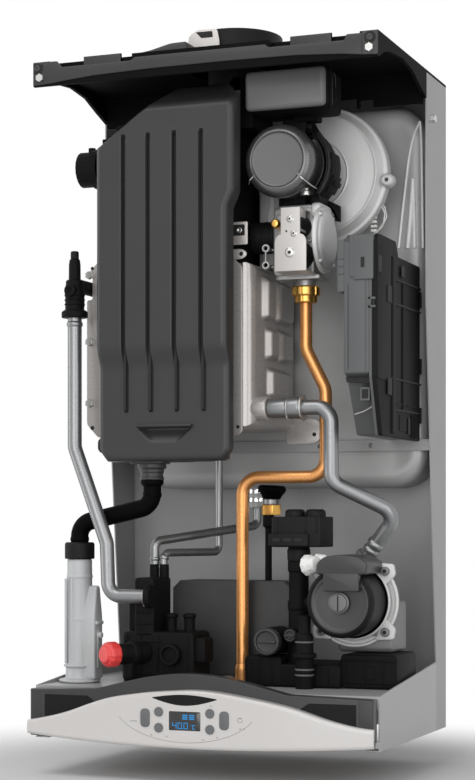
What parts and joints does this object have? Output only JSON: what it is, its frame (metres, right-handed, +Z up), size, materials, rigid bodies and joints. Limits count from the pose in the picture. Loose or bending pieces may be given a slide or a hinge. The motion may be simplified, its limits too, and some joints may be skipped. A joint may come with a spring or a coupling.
{
  "type": "combi boiler",
  "caption": "Wall-hung combination boiler with its front casing off, showing exchanger cover, fan, gas valve, pump, pipes and a fold-down control panel.",
  "frame": {"origin": "midway between the two wall-hanging slots, on the wall plane", "axes": "+X to the boiler's right as seen from the front, +Y towards the wall, +Z up"},
  "size_m": [0.408, 0.301, 0.788],
  "materials": {
    "black_moulding": "satin black moulded plastic",
    "cast_aluminium": "blasted die casting",
    "ceramic": "glazed ceramic",
    "circuit_board": "glass-epoxy board",
    "copper_tube": "drawn copper tube",
    "display_glass": "smoked display window",
    "fascia_gloss": "glossy light grey moulding",
    "galvanised_steel": "zinc-coated strip",
    "graphite_moulding": "graphite moulded polypropylene",
    "grey_moulding": "mid grey moulded plastic",
    "hose_rubber": "black rubber",
    "key_rubber": "soft grey key",
    "milky_polypropylene": "translucent white plastic",
    "motor_black": "black coated motor can",
    "painted_sheet_steel": "light grey painted sheet",
    "plated_steel_pipe": "zinc-plated steel tube",
    "pump_casting": "coated grey casting",
    "red_moulding": "red moulded knob",
    "stainless_steel": "pressed stainless steel",
    "tray_sheet": "pale grey painted sheet",
    "turned_brass": "machined brass"
  },
  "bodies": {
    "chassis": {"back_frame": "painted_sheet_steel", "bottom_tray": "tray_sheet", "top_frame": "black_moulding", "chassis_screws": "galvanised_steel", "flue_adapter": "black_moulding", "flue_duct": "black_moulding", "flue_collector": "graphite_moulding", "exchanger_shell": "stainless_steel", "exchanger_coil": "stainless_steel", "burner_tube": "stainless_steel", "ignition_electrode": "ceramic", "fan_scroll": "cast_aluminium", "fan_motor": "motor_black", "air_silencer": "graphite_moulding", "mixing_duct": "black_moulding", "gas_valve_body": "cast_aluminium", "gas_solenoids": "black_moulding", "valve_bracket": "galvanised_steel", "gas_union_nut": "turned_brass", "gas_pipe": "copper_tube", "return_pipe": "plated_steel_pipe", "flow_pipe": "plated_steel_pipe", "pipe_clips": "galvanised_steel", "air_vent": "graphite_moulding", "condensate_hose": "hose_rubber", "siphon_nut": "black_moulding", "siphon_body": "milky_polypropylene", "connection_tails": "turned_brass", "flow_manifold": "black_moulding", "safety_valve": "black_moulding", "return_manifold": "black_moulding", "plate_exchanger": "stainless_steel", "diverter_motor": "black_moulding", "pump_volute": "pump_casting", "pump_motor": "motor_black", "expansion_vessel": "painted_sheet_steel", "vessel_pipes": "plated_steel_pipe", "pressure_sensor": "turned_brass", "control_box": "grey_moulding", "control_box_cover": "black_moulding", "main_board": "circuit_board"},
    "control_panel": {"panel_bezel": "graphite_moulding", "fascia": "fascia_gloss", "display_module": "display_glass"},
    "fan_wheel": {"fan_impeller": "cast_aluminium"},
    "pump_wheel": {"pump_rotor": "stainless_steel"},
    "meter_wheel": {"flow_turbine": "grey_moulding"},
    "diverter": {"diverter_spindle": "galvanised_steel"},
    "gas_armatures": {"gas_plungers": "galvanised_steel"},
    "relief_knob": {"safety_knob": "red_moulding"},
    "filter_cover": {"filter_cap": "graphite_moulding"},
    "drain_screw": {"drain_tap": "graphite_moulding"},
    "bleed_screw": {"pump_vent_screw": "stainless_steel"},
    "vent_cap": {"air_vent_cap": "black_moulding"},
    "mode_button_body": {"mode_button": "key_rubber"},
    "reset_button_body": {"reset_button": "key_rubber"},
    "auto_button_body": {"auto_button": "key_rubber"},
    "power_button_body": {"power_button": "key_rubber"},
    "heating_rocker_body": {"heating_rocker": "key_rubber"},
    "water_rocker_body": {"water_rocker": "key_rubber"}
  },
  "joints": [
    {"name": "panel_tilt", "type": "hinge", "parent": "chassis", "child": "control_panel", "pos_m": [0, -0.276, -0.731], "axis": [1, 0, 0], "range_deg": [0, 90]},
    {"name": "fan_spin", "type": "hinge", "parent": "chassis", "child": "fan_wheel", "pos_m": [0.07, -0.112, -0.105], "axis": [0, 1, 0], "continuous": true},
    {"name": "pump_spin", "type": "hinge", "parent": "chassis", "child": "pump_wheel", "pos_m": [0.139, -0.185, -0.5865], "axis": [0, 1, 0], "continuous": true},
    {"name": "meter_spin", "type": "hinge", "parent": "chassis", "child": "meter_wheel", "pos_m": [0.096, -0.205, -0.642], "axis": [0, 0, 1], "continuous": true},
    {"name": "diverter_slide", "type": "slide", "parent": "chassis", "child": "diverter", "axis": [0, 0, 1], "range_m": [0, 0.006], "stiffness_N_per_m": 900},
    {"name": "armature_slide", "type": "slide", "parent": "chassis", "child": "gas_armatures", "axis": [0, -1, 0], "range_m": [0, 0.0025], "stiffness_N_per_m": 1200},
    {"name": "relief_knob_turn", "type": "hinge", "parent": "chassis", "child": "relief_knob", "pos_m": [-0.1085, -0.26165, -0.645], "axis": [-0.5, -0.866, 0], "range_deg": [0, 90]},
    {"name": "filter_cover_turn", "type": "hinge", "parent": "chassis", "child": "filter_cover", "pos_m": [0.051, -0.196, -0.631], "axis": [0, -1, 0], "range_deg": [0, 90]},
    {"name": "drain_screw_turn", "type": "hinge", "parent": "chassis", "child": "drain_screw", "pos_m": [0.0755, -0.19, -0.624], "axis": [0, -1, 0], "range_deg": [0, 270]},
    {"name": "bleed_screw_turn", "type": "hinge", "parent": "chassis", "child": "bleed_screw", "pos_m": [0.139, -0.216, -0.5865], "axis": [0, -1, 0], "range_deg": [0, 270]},
    {"name": "vent_cap_turn", "type": "hinge", "parent": "chassis", "child": "vent_cap", "pos_m": [-0.1695, -0.23, -0.199], "axis": [0, 0, 1], "range_deg": [0, 270]},
    {"name": "mode_button_press", "type": "slide", "parent": "control_panel", "child": "mode_button_body", "axis": [0, 1, 0], "range_m": [0, 0.0008], "stiffness_N_per_m": 600},
    {"name": "reset_button_press", "type": "slide", "parent": "control_panel", "child": "reset_button_body", "axis": [0, 1, 0], "range_m": [0, 0.0008], "stiffness_N_per_m": 600},
    {"name": "auto_button_press", "type": "slide", "parent": "control_panel", "child": "auto_button_body", "axis": [0, 1, 0], "range_m": [0, 0.0008], "stiffness_N_per_m": 600},
    {"name": "power_button_press", "type": "slide", "parent": "control_panel", "child": "power_button_body", "axis": [0, 1, 0], "range_m": [0, 0.0008], "stiffness_N_per_m": 600},
    {"name": "heating_rocker_tilt", "type": "hinge", "parent": "control_panel", "child": "heating_rocker_body", "pos_m": [-0.052, -0.297, -0.709], "axis": [1, 0, 0], "range_deg": [-4, 4], "stiffness_Nm_per_rad": 0.2},
    {"name": "water_rocker_tilt", "type": "hinge", "parent": "control_panel", "child": "water_rocker_body", "pos_m": [0.039, -0.297, -0.709], "axis": [1, 0, 0], "range_deg": [-4, 4], "stiffness_Nm_per_rad": 0.2}
  ]
}
